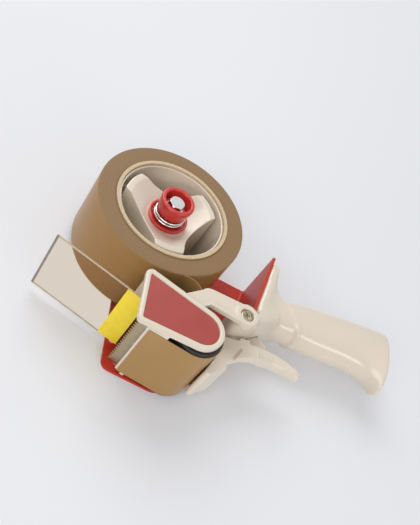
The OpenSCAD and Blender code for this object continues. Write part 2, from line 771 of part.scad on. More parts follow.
module trigger() {
    color(cream) difference() {
        union() {
            translate([0, 0, bar_z]) linear_extrude(bar_w) rounded(bar_corners);
            translate([0, 0, lip_z]) linear_extrude(bar_top - lip_z) rounded(lip_corners);
            translate([0, 0, bar_top - trigger_cheek_t]) linear_extrude(trigger_cheek_t) difference() {
                polygon(cheek_line);
                translate(arch_c) circle(r = arch_r);
            }
            translate([0, 0, lobe_z]) linear_extrude(lobe_w) rounded(lobe_corners);
            loft(lever_rings);
        }
        translate([pin_x, pin_y, bar_z - over])
            cylinder(d = pin_d + 2 * turn_gap, h = bar_w - slot_depth - 0.8 + over);
        translate([pin_x, pin_y, bar_z - over]) cylinder(d = spring_room_d, h = spring_room_h + over);
        translate([0, 0, bar_top - slot_depth]) linear_extrude(slot_depth + over) {
            rounded([concat(slot_low, slot_w / 2), concat(slot_high, slot_w / 2)]);
            translate(slot_low) circle(d = 2 * slot_w);
        }
    }
}
// Rubber pad whose hollow face meets the tape when the trigger is squeezed
pad_z = bar_z + 4;
pad_len = bar_w - 8;
pad_low = pin_y + 0.2;
pad_high = pin_y + 9.2;
pad_front = pin_x - 13.1;
module brake_pad() {
    hollow = turned(roller_c, [pin_x, pin_y], -squeeze);
    color(black) translate([0, 0, pad_z]) linear_extrude(pad_len) difference() {
        polygon([[pad_front, pad_high], [pin_x - 2.6, pad_high],
                 [pin_x - 4.6, pad_low], [pad_front, pad_low]]);
        translate(hollow) circle(r = web_out + free_gap);
        rounded(inset(bar_corners, -fit_gap, 0));
        rounded(inset(lip_corners, -fit_gap, 0));
    }
}
module trigger_pin() {
    color(steel) translate([pin_x, pin_y, 0]) cylinder(d = pin_d, h = bar_top - slot_depth - 1.2);
}
trigger_wire = 1;
trigger_spring_r = pin_d / 2 + free_gap + trigger_wire / 2;
trigger_spring_turns = 3.5;
trigger_spring_h = spring_room_h - 0.6;
module trigger_spring() {
    color(steel) translate([pin_x, pin_y, bar_z + 0.2])
        coil(trigger_spring_r, trigger_wire, trigger_spring_turns, trigger_spring_h);
}

// Friction disc and clinch nut on the plate
disc_d = 32;
nut_h = plate_t + 4;
hub_z = plate_t + disc_t + 0.1;
module friction_disc() {
    color(dark_steel) translate([0, 0, plate_t]) difference() {
        cylinder(d = disc_d, h = disc_t);
        translate([0, 0, -over]) cylinder(d = nut_d + 4, h = disc_t + 2 * over);
    }
}
module hub_nut() {
    color(steel) difference() {
        union() {
            cylinder(d = nut_d - 2 * fit_gap, h = plate_t);
            translate([0, 0, plate_t]) cylinder(d = nut_d + 2, h = nut_h - plate_t);
        }
        translate([0, 0, nut_floor]) cylinder(d = bolt_d + 2 * turn_gap, h = nut_h + over);
    }
}

// Hub: drum in the core, dished face with three arms on walls, and the middle tube
drum_r = core_bore / 2 - 0.15;
drum_top = tape_top - drum_short;
seat_z = tape_top - dish_depth;
arm_turn = 30;
rib_up = 6;
arm_wall = 2;
rib_w = 2.4;
module star(margin) {
    difference() {
        circle(r = arm_r - margin);
        for (i = [0 : 2])
            rotate(arm_turn + 60 + 120 * i) translate([waist_r + notch_r, 0]) circle(r = notch_r + margin);
    }
}
module under_dish(drop) {
    rotate_extrude()
        polygon([[0, hub_z], [arm_r + over, hub_z], [arm_r + over, tape_top - drop],
                 [arm_r, tape_top - drop], [seat_r, seat_z - drop], [0, seat_z - drop]]);
}
module hub() {
    color(cream) difference() {
        union() {
            translate([0, 0, hub_z]) difference() {
                cylinder(r = drum_r, h = drum_top - hub_z);
                translate([0, 0, -over])
                    cylinder(r = drum_r - drum_t, h = drum_top - hub_z + 2 * over);
            }
            intersection() {
                under_dish(0);
                difference() {
                    translate([0, 0, hub_z]) linear_extrude(tape_w) star(0);
                    intersection() {
                        under_dish(dish_t);
                        translate([0, 0, hub_z - over]) linear_extrude(tape_w + 2 * over) star(arm_wall);
                    }
                }
            }
            translate([0, 0, hub_z]) cylinder(r = tube_r, h = seat_z - hub_z - dish_t / 2);
            for (i = [0 : 2])
                rotate(arm_turn + 120 * i) translate([0, -rib_w / 2, hub_z + rib_up])
                    cube([drum_r - drum_t / 2, rib_w, seat_z - dish_t / 2 - hub_z - rib_up]);
        }
        translate([0, 0, hub_z - over]) cylinder(d = bolt_d + 2 * turn_gap, h = tape_w + 2 * over);
        translate([0, 0, hub_z - over]) cylinder(d = nut_d + 3, h = nut_h - hub_z + free_gap + over);
    }
}

// Card core and wound tape
module tape_core() {
    color(card) translate([0, 0, tape_z - core_over]) difference() {
        cylinder(r = core_r - fit_gap, h = tape_w + 2 * core_over);
        translate([0, 0, -over]) cylinder(d = core_bore, h = tape_w + 2 * core_over + 2 * over);
    }
}
module tape_winding() {
    color(brown) translate([0, 0, tape_z]) difference() {
        cylinder(r = roll_r, h = tape_w);
        translate([0, 0, -over]) cylinder(r = core_r, h = tape_w + 2 * over);
    }
}

// Strip of tape from the roll, round the roller and along the shoe
module wedge_strip(c, r, from, to) {
    reach = 4 * r;
    intersection() {
        translate(c) difference() {
            circle(r = r + web_t);
            circle(r = r);
        }
        polygon(concat([c], [for (a = [0, 1 / 3, 2 / 3, 1])
            let (b = blend(from, to, a)) c + reach * [cos(b), sin(b)]]));
    }
}
module line_strip(p, q, n) {
    polygon([p, q, q + web_t * n, p + web_t * n]);
}
run_n = side_normal(concat(roller_c, web_in), concat(peel_c, peel_r));
run_angle = atan2(run_n[1], run_n[0]);
module tape_web() {
    color(brown) translate([0, 0, tape_z]) linear_extrude(tape_w) {
        wedge_strip(peel_c, peel_r, run_angle, 180 + peel_angle);
        line_strip(peel_c + peel_r * run_n, roller_c + web_in * run_n, run_n);
        wedge_strip(roller_c, web_in, -90 - sole_slope, run_angle);
        line_strip(sole_start, sole_start + sole_len * sole_d, sole_n);
    }
}

// Tension stack on the hub bolt: cup, spring, washer, knob and bolt
cup_floor = 1.2;
cup_wall = 1.6;
spring_z = seat_z + cup_floor;
spring_r = (knob_d - 2 - spring_wire) / 2;
knob_z = spring_z + spring_h;
knob_top = knob_z + knob_h;
knob_web = 2.2;
knob_flare = 3;
washer_t = 1.4;
washer_d = hex_af + 3.2;
knob_bore = knob_d - 2 * knob_wall;
head_z = knob_z + knob_web + washer_t;
bolt_end = plate_t + 0.8;
stem_d = bolt_d + 8;
stem_l = 3.6;
module tension_cup() {
    color(red) translate([0, 0, seat_z]) difference() {
        cylinder(d1 = cup_d - 1, d2 = cup_d, h = cup_h);
        translate([0, 0, cup_floor])
            cylinder(d1 = cup_d - 2 * cup_wall - 1, d2 = cup_d - 2 * cup_wall, h = cup_h);
        translate([0, 0, -over]) cylinder(d = bolt_d + 1, h = cup_h + 2 * over);
    }
}
module tension_spring() {
    color(steel) translate([0, 0, spring_z]) coil(spring_r, spring_wire, spring_turns, spring_h);
}
module bolt_washer() {
    color(steel) translate([0, 0, knob_z + knob_web]) difference() {
        cylinder(d = washer_d, h = washer_t);
        translate([0, 0, -over]) cylinder(d = bolt_d + 2 * turn_gap, h = washer_t + 2 * over);
    }
}
module tension_knob() {
    lip = 1.2;
    color(red) difference() {
        union() {
            translate([0, 0, knob_z]) cylinder(d1 = knob_d - knob_flare, d2 = knob_d, h = knob_h - lip);
            translate([0, 0, knob_top - lip]) cylinder(d1 = knob_d, d2 = knob_d - 1.2, h = lip);
            translate([0, 0, knob_z - stem_l]) cylinder(d = stem_d, h = stem_l + over);
        }
        translate([0, 0, knob_z + knob_web])
            cylinder(d1 = knob_bore - 1.2, d2 = knob_bore, h = knob_h - knob_web);
        translate([0, 0, knob_z - stem_l - over])
            cylinder(d = bolt_d + 2 * fit_gap, h = stem_l + knob_h);
    }
}
module hub_bolt() {
    hex_r = hex_af / sqrt(3);
    color(steel) {
        translate([0, 0, bolt_end]) cylinder(d = bolt_d, h = head_z - bolt_end + 0.5);
        translate([0, 0, head_z]) cylinder(d = hex_af + 2, h = 1.1);
        translate([0, 0, head_z]) intersection() {
            cylinder(r = hex_r, h = hex_h, $fn = 6);
            cylinder(r1 = hex_r + hex_h, r2 = hex_r * 0.88, h = hex_h);
        }
    }
}

echo(tension_spring_gap = coil_gap(spring_r, spring_wire, spring_turns, spring_h));
echo(trigger_spring_gap =
    coil_gap(trigger_spring_r, trigger_wire, trigger_spring_turns, trigger_spring_h));

side_plate();
handle();
handle_screws();
front_housing();
housing_screws();
cover_panel();
arm_screw();
blade();
blade_rivets();
flap();
flap_clamp();
flap_rivets();
marker_strip();
roller_axle();
roller_washers();
roller_core();
roller_sleeve();
trigger();
brake_pad();
trigger_pin();
trigger_spring();
friction_disc();
hub_nut();
hub();
tape_core();
tape_winding();
tape_web();
tension_cup();
tension_spring();
bolt_washer();
tension_knob();
hub_bolt();
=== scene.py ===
import math

import bmesh
import bpy
from mathutils import Matrix, Vector


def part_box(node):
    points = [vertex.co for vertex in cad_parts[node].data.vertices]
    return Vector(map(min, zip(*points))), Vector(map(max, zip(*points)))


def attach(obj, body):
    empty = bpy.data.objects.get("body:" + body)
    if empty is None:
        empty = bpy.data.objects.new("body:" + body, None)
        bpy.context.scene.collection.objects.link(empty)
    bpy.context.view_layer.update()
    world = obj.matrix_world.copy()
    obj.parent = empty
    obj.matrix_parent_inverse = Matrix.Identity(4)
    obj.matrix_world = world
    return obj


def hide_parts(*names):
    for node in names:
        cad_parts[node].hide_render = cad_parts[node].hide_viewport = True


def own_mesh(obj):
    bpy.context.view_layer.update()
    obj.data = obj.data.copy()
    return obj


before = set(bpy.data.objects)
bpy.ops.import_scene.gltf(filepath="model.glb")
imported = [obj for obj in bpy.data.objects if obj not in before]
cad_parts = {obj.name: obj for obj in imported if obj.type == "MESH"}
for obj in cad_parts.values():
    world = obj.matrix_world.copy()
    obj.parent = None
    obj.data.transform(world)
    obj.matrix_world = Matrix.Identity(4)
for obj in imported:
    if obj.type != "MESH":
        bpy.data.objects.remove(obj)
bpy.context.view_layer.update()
mm = 0.001


# Side plate: 2 mm sheet steel, cut to outline and bent up at the handle's end.
# It is sprayed with red enamel, so its edges are softly rounded by the paint.
def seen(red, green, blue):
    """A colour as the eye sees it, 0 to 255, in the light values that shaders take."""
    return [((c / 255 + 0.055) / 1.055) ** 2.4 for c in (red, green, blue)] + [1.0]


def finish(name, colour, roughness, **sockets):
    """A new surface finish with one shader, whose even values are set on its sockets."""
    made = bpy.data.materials.new(name)
    made.use_nodes = True
    shader = made.node_tree.nodes["Principled BSDF"]
    shader.inputs["Base Color"].default_value = colour
    shader.inputs["Roughness"].default_value = roughness
    for socket, value in sockets.items():
        shader.inputs[socket.replace("_", " ")].default_value = value
    made.diffuse_color = colour
    return made


def pattern(made, scale, stretch=(1, 1, 1), kind="ShaderNodeTexNoise", **values):
    """A noise or wave pattern on the piece's own coordinates, in features per metre."""
    nodes, links = made.node_tree.nodes, made.node_tree.links
    where = nodes.new("ShaderNodeTexCoord")
    spread = nodes.new("ShaderNodeMapping")
    spread.inputs["Scale"].default_value = stretch
    drawn = nodes.new(kind)
    drawn.inputs["Scale"].default_value = scale
    for socket, value in values.items():
        drawn.inputs[socket].default_value = value
    links.new(where.outputs["Object"], spread.inputs["Vector"])
    links.new(spread.outputs["Vector"], drawn.inputs["Vector"])
    return drawn


def tint(made, drawn, dark, light, low=0.3, high=0.7):
    """Base colour that runs from dark to light while a pattern goes from low to high."""
    nodes, links = made.node_tree.nodes, made.node_tree.links
    ramp = nodes.new("ShaderNodeValToRGB")
    first, last = ramp.color_ramp.elements
    first.position, last.position = low, high
    first.color, last.color = dark, light
    links.new(drawn.outputs[0], ramp.inputs["Fac"])
    links.new(ramp.outputs["Color"], nodes["Principled BSDF"].inputs["Base Color"])


def polish(made, drawn, low, high):
    """Roughness that runs from low to high with a pattern."""
    nodes, links = made.node_tree.nodes, made.node_tree.links
    span = nodes.new("ShaderNodeMapRange")
    span.inputs["To Min"].default_value, span.inputs["To Max"].default_value = low, high
    links.new(drawn.outputs[0], span.inputs["Value"])
    links.new(span.outputs["Result"], nodes["Principled BSDF"].inputs["Roughness"])


def relief(made, drawn, height):
    """Fine relief of a given height in metres, from a pattern."""
    nodes, links = made.node_tree.nodes, made.node_tree.links
    bump = nodes.new("ShaderNodeBump")
    bump.inputs["Strength"].default_value = 1.0
    bump.inputs["Distance"].default_value = height
    links.new(drawn.outputs[0], bump.inputs["Height"])
    links.new(bump.outputs["Normal"], nodes["Principled BSDF"].inputs["Normal"])


def cad_shell(node, short=0.0, weld=0.002 * mm, flat=0.01):
    """The faces of a CAD node as one closed shell.

    Corners nearer than weld meet, triangles that lie flat together become one face,
    and edges shorter than short are closed.
    """
    shell = bmesh.new()
    shell.from_mesh(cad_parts[node].data)
    bmesh.ops.remove_doubles(shell, verts=shell.verts, dist=weld)
    bmesh.ops.dissolve_limit(shell, angle_limit=flat, verts=shell.verts, edges=shell.edges)
    if short:
        bmesh.ops.dissolve_degenerate(shell, edges=shell.edges, dist=short)
        bmesh.ops.remove_doubles(shell, verts=shell.verts, dist=short)
    return shell


def soften(shell, width, steps=2, least=35):
    """Rounds every edge of a shell that is sharper than the least angle, in degrees."""
    sharp = [e for e in shell.edges
             if len(e.link_faces) == 2 and e.calc_face_angle() > math.radians(least)]
    bmesh.ops.bevel(shell, geom=sharp, offset=width, offset_type="OFFSET", affect="EDGES",
                    segments=steps, profile=0.5, material=-1, clamp_overlap=True)


def place(shell, name, made, body, slot, *nodes, smooth=math.radians(40)):
    """Makes the shell a piece with its finish, on the body it moves with."""
    mesh = bpy.data.meshes.new(name)
    shell.to_mesh(mesh)
    shell.free()
    mesh.materials.append(made)
    mesh.shade_smooth()
    mesh.set_sharp_from_angle(angle=smooth)
    piece = bpy.data.objects.new(name, mesh)
    bpy.context.scene.collection.objects.link(piece)
    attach(piece, body)
    if nodes:
        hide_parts(*nodes)
    return piece


def level(piece):
    """Keeps wide flat faces looking flat beside their rounded edges."""
    weigh = piece.modifiers.new("level", "WEIGHTED_NORMAL")
    weigh.keep_sharp, weigh.weight = True, 80


red_enamel = finish("red_enamel", seen(186, 46, 34), roughness=0.4, Specular_IOR_Level=0.3)
enamel_flow = pattern(red_enamel, scale=90, Detail=3)
tint(red_enamel, enamel_flow, seen(166, 39, 26), seen(206, 64, 46), low=0, high=1)
polish(red_enamel, enamel_flow, low=0.28, high=0.54)
orange_peel = pattern(red_enamel, scale=700, Detail=2)
relief(red_enamel, orange_peel, height=0.02 * mm)
plate = cad_shell("side_plate", short=0.05 * mm)
soften(plate, width=0.35 * mm)
level(place(plate, "enamelled_plate", red_enamel, "frame", "red_paint", "side_plate"))


# Plain steel parts: screws, rivets, washers, axle, pin, clamp bar and the hub bolt's nut.
# They are turned or stamped, then zinc-plated, which leaves a cloudy grey bloom on them.
def dress(made, *nodes):
    """Gives CAD nodes whose shape is right their finish."""
    for node in nodes:
        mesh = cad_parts[node].data
        mesh.materials.clear()
        mesh.materials.append(made)


zinc = finish("zinc_plate", seen(176, 174, 168), roughness=0.32, Metallic=1.0)
zinc_bloom = pattern(zinc, scale=350, Detail=5)
tint(zinc, zinc_bloom, seen(150, 148, 144), seen(190, 188, 182))
polish(zinc, zinc_bloom, low=0.28, high=0.52)
dress(zinc, "handle_screws", "housing_screws", "hub_nut", "roller_axle", "roller_washers",
      "trigger_pin", "flap_clamp", "blade_rivets")


# Brake disc: ring of pressed fibre that lies on the plate, under the hub.
# The hub rubs on it as the knob is tightened, which slows the roll.
fibre = finish("pressed_fibre", seen(72, 63, 54), roughness=0.85)
fibre_fleck = pattern(fibre, scale=900, Detail=6)
tint(fibre, fibre_fleck, seen(54, 47, 40), seen(92, 80, 68))
relief(fibre, fibre_fleck, height=0.05 * mm)
dress(fibre, "friction_disc")


# Handle: one moulding in cream plastic, screwed to the flange from the front.
# The pad, neck, ring and grip run into one another, so the skin is one smooth sheet.
# Only the pocket in the nose, into which the lever's lobe swings, keeps its sharp form.
cream = finish("cream_plastic", seen(222, 210, 192), roughness=0.2,
               Coat_Weight=0.3, Coat_Roughness=0.08)
cream_cloud = pattern(cream, scale=22, Detail=2)
tint(cream, cream_cloud, seen(218, 206, 188), seen(226, 214, 196), low=0, high=1)
polish(cream, cream_cloud, low=0.16, high=0.24)
mould_skin = pattern(cream, scale=1500, Detail=2)
relief(cream, mould_skin, height=0.002 * mm)
pocket_x, pocket_z, pocket_top = (60 * mm, 85 * mm), (25 * mm, 35 * mm), -59 * mm
nose_x, nose_y = (40 * mm, 88 * mm), (-75 * mm, -20 * mm)


def skin(node, grain, rounds, keep=1.0):
    """The skin of a moulded CAD node in fine even faces, with edges eased as a mould's are."""
    mesh = bpy.data.meshes.new("rough")
    shell = cad_shell(node)
    shell.to_mesh(mesh)
    shell.free()
    rough = bpy.data.objects.new("rough", mesh)
    bpy.context.scene.collection.objects.link(rough)
    even = rough.modifiers.new("even", "REMESH")
    even.mode, even.voxel_size = "VOXEL", grain
    eased = rough.modifiers.new("eased", "SMOOTH")
    eased.factor, eased.iterations = 0.5, rounds
    if keep < 1:
        rough.modifiers.new("thinned", "DECIMATE").ratio = keep
    bpy.context.view_layer.update()
    shell = bmesh.new()
    shell.from_object(rough, bpy.context.evaluated_depsgraph_get())
    bpy.data.objects.remove(rough)
    bpy.data.meshes.remove(mesh)
    return shell


def ease(shell, rounds, inside):
    """Eases a skin further where a point is inside."""
    points = [v for v in shell.verts if inside(v.co)]
    for _ in range(rounds):
        bmesh.ops.smooth_vert(shell, verts=points, factor=0.5,
                              use_axis_x=True, use_axis_y=True, use_axis_z=True)


def off_pocket(p):
    """Whether a point is clear of the pocket in the nose."""
    return not (pocket_x[0] < p.x < pocket_x[1] and p.y < pocket_top
                and pocket_z[0] < p.z < pocket_z[1])


def on_nose(p):
    """Whether a point is on the nose or its root, and clear of the pocket."""
    return (off_pocket(p) and nose_x[0] < p.x < nose_x[1]
            and nose_y[0] < p.y < nose_y[1])


grip = skin("handle", grain=0.6 * mm, rounds=1)
ease(grip, 30, off_pocket)
ease(grip, 90, on_nose)
place(grip, "grip_moulding", cream, "frame", "cream_plastic", "handle", smooth=math.pi)


# Front housing: cream moulding with the near cheek, the cross block, the shoe and the arm.
# It is screwed to the plate and held to the handle's nose by the screw in the arm's boss.
front = skin("front_housing", grain=0.42 * mm, rounds=7)
place(front, "front_moulding", cream, "frame", "cream_plastic", "front_housing",
      smooth=math.pi)


# Cutter: hardened steel strip with ground teeth, riveted between the cross block and the shoe.
# The grinding leaves fine lines along the teeth, and the edges are barely broken.
ground_steel = finish("ground_steel", seen(182, 166, 140), roughness=0.3, Metallic=1.0)
grinding = pattern(ground_steel, scale=500, stretch=(1, 1, 14), Detail=5)
tint(ground_steel, grinding, seen(172, 155, 128), seen(192, 177, 152))
polish(ground_steel, grinding, low=0.28, high=0.44)
relief(ground_steel, grinding, height=0.01 * mm)
cutter = cad_shell("blade")
soften(cutter, width=0.12 * mm, steps=1)
place(cutter, "toothed_cutter", ground_steel, "frame", "blade_steel", "blade")


# Wiper flap: clear, slightly tinted plastic sheet, clamped at its root by a bar and rivets.
# Its long sides are cut and its free end is sawn, so both are duller than the faces.
clear_sheet = finish("clear_sheet", seen(240, 228, 210), roughness=0.05,
                     Transmission_Weight=1.0, IOR=1.15)
haze = pattern(clear_sheet, scale=300, stretch=(1, 1, 0.2), Detail=5)
polish(clear_sheet, haze, low=0.0, high=0.12)
cut_edge = finish("cut_edge", seen(190, 172, 146), roughness=0.45,
                  Transmission_Weight=0.4, IOR=1.15)
cut_marks = pattern(cut_edge, scale=900, Detail=4)
tint(cut_edge, cut_marks, seen(180, 162, 135), seen(200, 182, 157))
# Painted shade: a darker grey band over the last 1.3 mm of the free end, faces included, on top
# of the end's real dullness.
sawn_end_and_shade = finish("sawn_end_and_shade", seen(156, 149, 136), roughness=0.5,
                  Transmission_Weight=0.3, IOR=1.15)
end_band_noise = pattern(sawn_end_and_shade, scale=900, Detail=4)
tint(sawn_end_and_shade, end_band_noise, seen(144, 137, 124), seen(168, 161, 148))
flap_turn, end_band, edge_tilt = math.radians(154.5), 1.3 * mm, 0.4
outward = Vector((math.cos(flap_turn), math.sin(flap_turn), 0))
sheet = cad_shell("flap")
soften(sheet, width=0.15 * mm, steps=1)
end_line = max(v.co.dot(outward) for v in sheet.verts) - end_band
bmesh.ops.bisect_plane(sheet, geom=sheet.verts[:] + sheet.edges[:] + sheet.faces[:],
                       plane_co=outward * end_line, plane_no=outward)
wiper = place(sheet, "wiper_flap", clear_sheet, "frame", "clear_plastic", "flap",
              smooth=math.radians(20))
wiper.data.materials.append(cut_edge)
wiper.data.materials.append(sawn_end_and_shade)
# Faces past end_line take the painted shade band; steep edge faces take the cut edge.
for face in wiper.data.polygons:
    if face.center.dot(outward) > end_line:
        face.material_index = 2
    elif abs(face.normal.z) > edge_tilt:
        face.material_index = 1


# Flap rivets: three bright-plated steel rivets through the clamp bar and the flap's root.
# Their heads are stamped, with edges rounded by the tool.
bright = finish("bright_plate", seen(226, 226, 224), roughness=0.14, Metallic=1.0)
bright_haze = pattern(bright, scale=420, Detail=4)
polish(bright, bright_haze, low=0.02, high=0.24)
heads = cad_shell("flap_rivets")
soften(heads, width=0.25 * mm)
place(heads, "flap_rivet_heads", bright, "frame", "steel", "flap_rivets")


# Marker strip: plain yellow plastic film that sticks across the flap's foot.
# It is flat and thin, so the CAD shape stays, with the film's slightly uneven dye.
yellow = finish("yellow_film", seen(255, 224, 40), roughness=0.38)
film_dye = pattern(yellow, scale=220, Detail=4)
tint(yellow, film_dye, seen(250, 211, 21), seen(255, 238, 65), low=0, high=1)
dress(yellow, "marker_strip")


# Roller: cream core that turns on the fixed axle, with a black rubber sleeve pressed over it.
# The sleeve is cut from tube, and its ends are rounded by use.
# The lever's brake pad is of the same rubber.
seam = 0.001 * mm


def turned(profile, middle=(0.0, 0.0), steps=128):
    """A round piece: a closed section of (radius, height) turned about an upright axis."""
    shell = bmesh.new()
    row = [shell.verts.new((middle[0] + r, middle[1], z)) for r, z in profile]
    edges = [shell.edges.new((a, b)) for a, b in zip(row, row[1:] + row[:1])]
    bmesh.ops.spin(shell, geom=row + edges, cent=(middle[0], middle[1], 0), axis=(0, 0, 1),
                   angle=math.tau, steps=steps, use_merge=True)
    bmesh.ops.remove_doubles(shell, verts=shell.verts, dist=seam)
    bmesh.ops.recalc_face_normals(shell, faces=shell.faces)
    return shell


rubber = finish("black_rubber", seen(34, 33, 32), roughness=0.5)
rubber_turning = pattern(rubber, scale=600, stretch=(1, 1, 6), Detail=4)
tint(rubber, rubber_turning, seen(26, 25, 24), seen(46, 45, 43))
relief(rubber, rubber_turning, height=0.03 * mm)
sleeve_wall = 3.55 * mm
sleeve_low, sleeve_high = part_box("roller_sleeve")
roller_middle = ((sleeve_low.x + sleeve_high.x) / 2, (sleeve_low.y + sleeve_high.y) / 2)
sleeve_r = (sleeve_high.x - sleeve_low.x) / 2
bore_r = sleeve_r - sleeve_wall
sleeve = turned([(bore_r, sleeve_low.z), (sleeve_r, sleeve_low.z),
                 (sleeve_r, sleeve_high.z), (bore_r, sleeve_high.z)], roller_middle)
soften(sleeve, width=0.7 * mm, steps=4)
level(place(sleeve, "rubber_sleeve", rubber, "roller", "black_rubber", "roller_sleeve"))
dress(rubber, "brake_pad")
dress(cream, "roller_core")


# Trigger: cream moulded lever with a wide cross bar, which swings on its pin.
# It carries the brake pad, which meets the tape on the roller when a finger squeezes it.
lever = skin("trigger", grain=0.36 * mm, rounds=6)
place(lever, "brake_lever", cream, "lever", "cream_plastic", "trigger", smooth=math.pi)


# Return spring: bright steel wire, coiled cold into a few even turns.
# It sits round the trigger's pin and brings the lever back.
def wound(radius, wire, turns, low, high, middle=(0.0, 0.0), sides=14, steps=48):
    """A coil spring: a round wire swept round an upright axis while it rises."""
    shell = bmesh.new()
    ring = bmesh.ops.create_circle(shell, cap_ends=True, radius=wire / 2, segments=sides,
                                   matrix=Matrix.Rotation(math.radians(90), 4, "X"))["verts"]
    bmesh.ops.translate(shell, verts=ring,
                        vec=(middle[0] + radius, middle[1], low + wire / 2))
    count = round(turns * steps)
    rise = (high - low - wire) / count
    bmesh.ops.spin(shell, geom=shell.verts[:] + shell.edges[:] + shell.faces[:],
                   cent=(middle[0], middle[1], 0), axis=(0, 0, 1), angle=math.tau * turns,
                   steps=count, dvec=(0, 0, rise))
    bmesh.ops.remove_doubles(shell, verts=shell.verts, dist=seam)
    bmesh.ops.recalc_face_normals(shell, faces=shell.faces)
    return shell


return_low, return_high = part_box("trigger_spring")
pin_low, pin_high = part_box("trigger_pin")
pin_middle = ((pin_low.x + pin_high.x) / 2, (pin_low.y + pin_high.y) / 2)
return_coil = wound(radius=2.3 * mm, wire=1.0 * mm, turns=3.5, low=return_low.z,
                    high=return_high.z, middle=pin_middle, sides=10, steps=32)
place(return_coil, "return_coil", bright, "frame", "spring_steel", "trigger_spring")


# Arm screw: cross-head screw of nickel-plated steel, sunk in the boss.
# It holds the front housing's arm to the handle's nose.
nickel = finish("nickel_plate", seen(190, 178, 150), roughness=0.22, Metallic=1.0)
nickel_bloom = pattern(nickel, scale=500, Detail=4)
tint(nickel, nickel_bloom, seen(150, 138, 112), seen(206, 196, 172))
screw = cad_shell("arm_screw")
soften(screw, width=0.18 * mm)
place(screw, "boss_screw", nickel, "frame", "nickel", "arm_screw")


# Cover panel: flat moulded panel of red plastic, with a fine satin grain.
# It is pressed into the recess of the near cheek and left bare.
red_satin = finish("red_satin", seen(164, 62, 54), roughness=0.42)
satin_cloud = pattern(red_satin, scale=60, Detail=3)
tint(red_satin, satin_cloud, seen(154, 57, 48), seen(174, 70, 61), low=0, high=1)
satin_grain = pattern(red_satin, scale=2600, Detail=2)
relief(red_satin, satin_grain, height=0.02 * mm)
panel = cad_shell("cover_panel")
soften(panel, width=0.3 * mm)
level(place(panel, "bare_panel", red_satin, "frame", "red_panel", "cover_panel"))


# Hub: cream moulding that carries the roll, a drum with a dished three-armed face.
# Its walls are thin and its arms run into the dish, with a radius at every edge.
drum = skin("hub", grain=0.45 * mm, rounds=10, keep=0.25)
place(drum, "roll_hub", cream, "roll", "cream_plastic", "hub", smooth=math.pi)


# Card core: tube of pale brown card, wound from strips and cut square at both ends.
# It is pushed over the hub's drum and carries the wound tape.
card = finish("wound_card", seen(204, 182, 150), roughness=0.8)
card_fibre = pattern(card, scale=700, Detail=6)
tint(card, card_fibre, seen(194, 171, 138), seen(214, 193, 162))
relief(card, card_fibre, height=0.03 * mm)
core_wall = 2.35 * mm
core_low, core_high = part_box("tape_core")
core_r = (core_high.x - core_low.x) / 2
core_in = core_r - core_wall
core = turned([(core_in, core_low.z), (core_r, core_low.z),
               (core_r, core_high.z), (core_in, core_high.z)], steps=192)
soften(core, width=0.12 * mm)
level(place(core, "card_core", card, "roll", "card", "tape_core"))


# Tape winding: many layers of glossy brown film, wound tight on the card core.
# The layers' ends stand a few hundredths of a millimetre in and out, as wound film does.
brown_film = finish("brown_film", seen(165, 126, 76), roughness=0.28, Specular_IOR_Level=0.3)
film_bands = pattern(brown_film, scale=260, stretch=(0.03, 0.03, 1), Detail=2)
tint(brown_film, film_bands, seen(160, 121, 71), seen(170, 131, 81), low=0, high=1)
polish(brown_film, film_bands, low=0.28, high=0.36)
layer_ends = finish("layer_ends", seen(138, 109, 75), roughness=0.55, Specular_IOR_Level=0.3)
layer_rings = pattern(layer_ends, scale=260, kind="ShaderNodeTexWave", Distortion=0.6, Detail=3)
layer_rings.wave_type, layer_rings.rings_direction = "RINGS", "Z"
tint(layer_ends, layer_rings, seen(135, 106, 72), seen(141, 113, 79), low=0.1, high=0.9)
core_gap, rim_width = 0.05 * mm, 0.35 * mm
rim_inset, rim_drop, rim_foot = 0.08 * mm, 0.22 * mm, 0.6 * mm
stops, end_inset, end_sway, end_tilt = 18, 0.08, 0.06, 0.7
short_wave, long_wave = 2.4, 0.9
wind_low, wind_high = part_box("tape_winding")
wind_r = (wind_high.x - wind_low.x) / 2
wind_in = core_r + core_gap
ends = [end_sway * math.sin(short_wave * k) * math.sin(long_wave * k + 1)
        for k in range(stops + 1)]
step = (wind_r - rim_width - wind_in) / stops
top_row = [(wind_in + step * k, wind_high.z - (end_inset + ends[k]) * mm)
           for k in range(stops + 1)]
low_row = [(r, wind_low.z + wind_high.z - z) for r, z in top_row]
rim_row = [(wind_r - rim_inset, wind_high.z - rim_drop), (wind_r, wind_high.z - rim_foot),
           (wind_r, wind_low.z + rim_foot), (wind_r - rim_inset, wind_low.z + rim_drop)]
roll = turned(top_row + rim_row + low_row[::-1], steps=224)
winding = place(roll, "wound_film", brown_film, "roll", "brown_tape", "tape_winding",
                smooth=math.pi)
winding.data.materials.append(layer_ends)
for face in winding.data.polygons:
    face.material_index = 1 if abs(face.normal.z) > end_tilt else 0


# Tape strip: one layer of the film, which runs from the roll round the roller to the cutter.
# It is drawn taut and smooth, so it shines more evenly than the wound layers.
strip_film = finish("strip_film", seen(167, 130, 78), roughness=0.3, Specular_IOR_Level=0.4)
strip_cloud = pattern(strip_film, scale=40, Detail=1)
tint(strip_film, strip_cloud, seen(162, 125, 74), seen(172, 134, 82), low=0, high=1)
polish(strip_film, strip_cloud, low=0.28, high=0.44)
strip = cad_shell("tape_web")
place(strip, "tape_strip", strip_film, "frame", "brown_tape", "tape_web")


# Tension cup: shallow dish of glossy red plastic on the hub's face, moulded with a round lip.
# It turns with the hub and is the seat of the tension spring.
red_gloss = finish("red_gloss", seen(196, 44, 36), roughness=0.24,
                   Coat_Weight=0.3, Coat_Roughness=0.06)
gloss_cloud = pattern(red_gloss, scale=260, Detail=3)
tint(red_gloss, gloss_cloud, seen(178, 33, 25), seen(213, 57, 48), low=0, high=1)
cup = cad_shell("tension_cup")
soften(cup, width=0.5 * mm, steps=4)
place(cup, "red_cup", red_gloss, "roll", "red_plastic", "tension_cup")


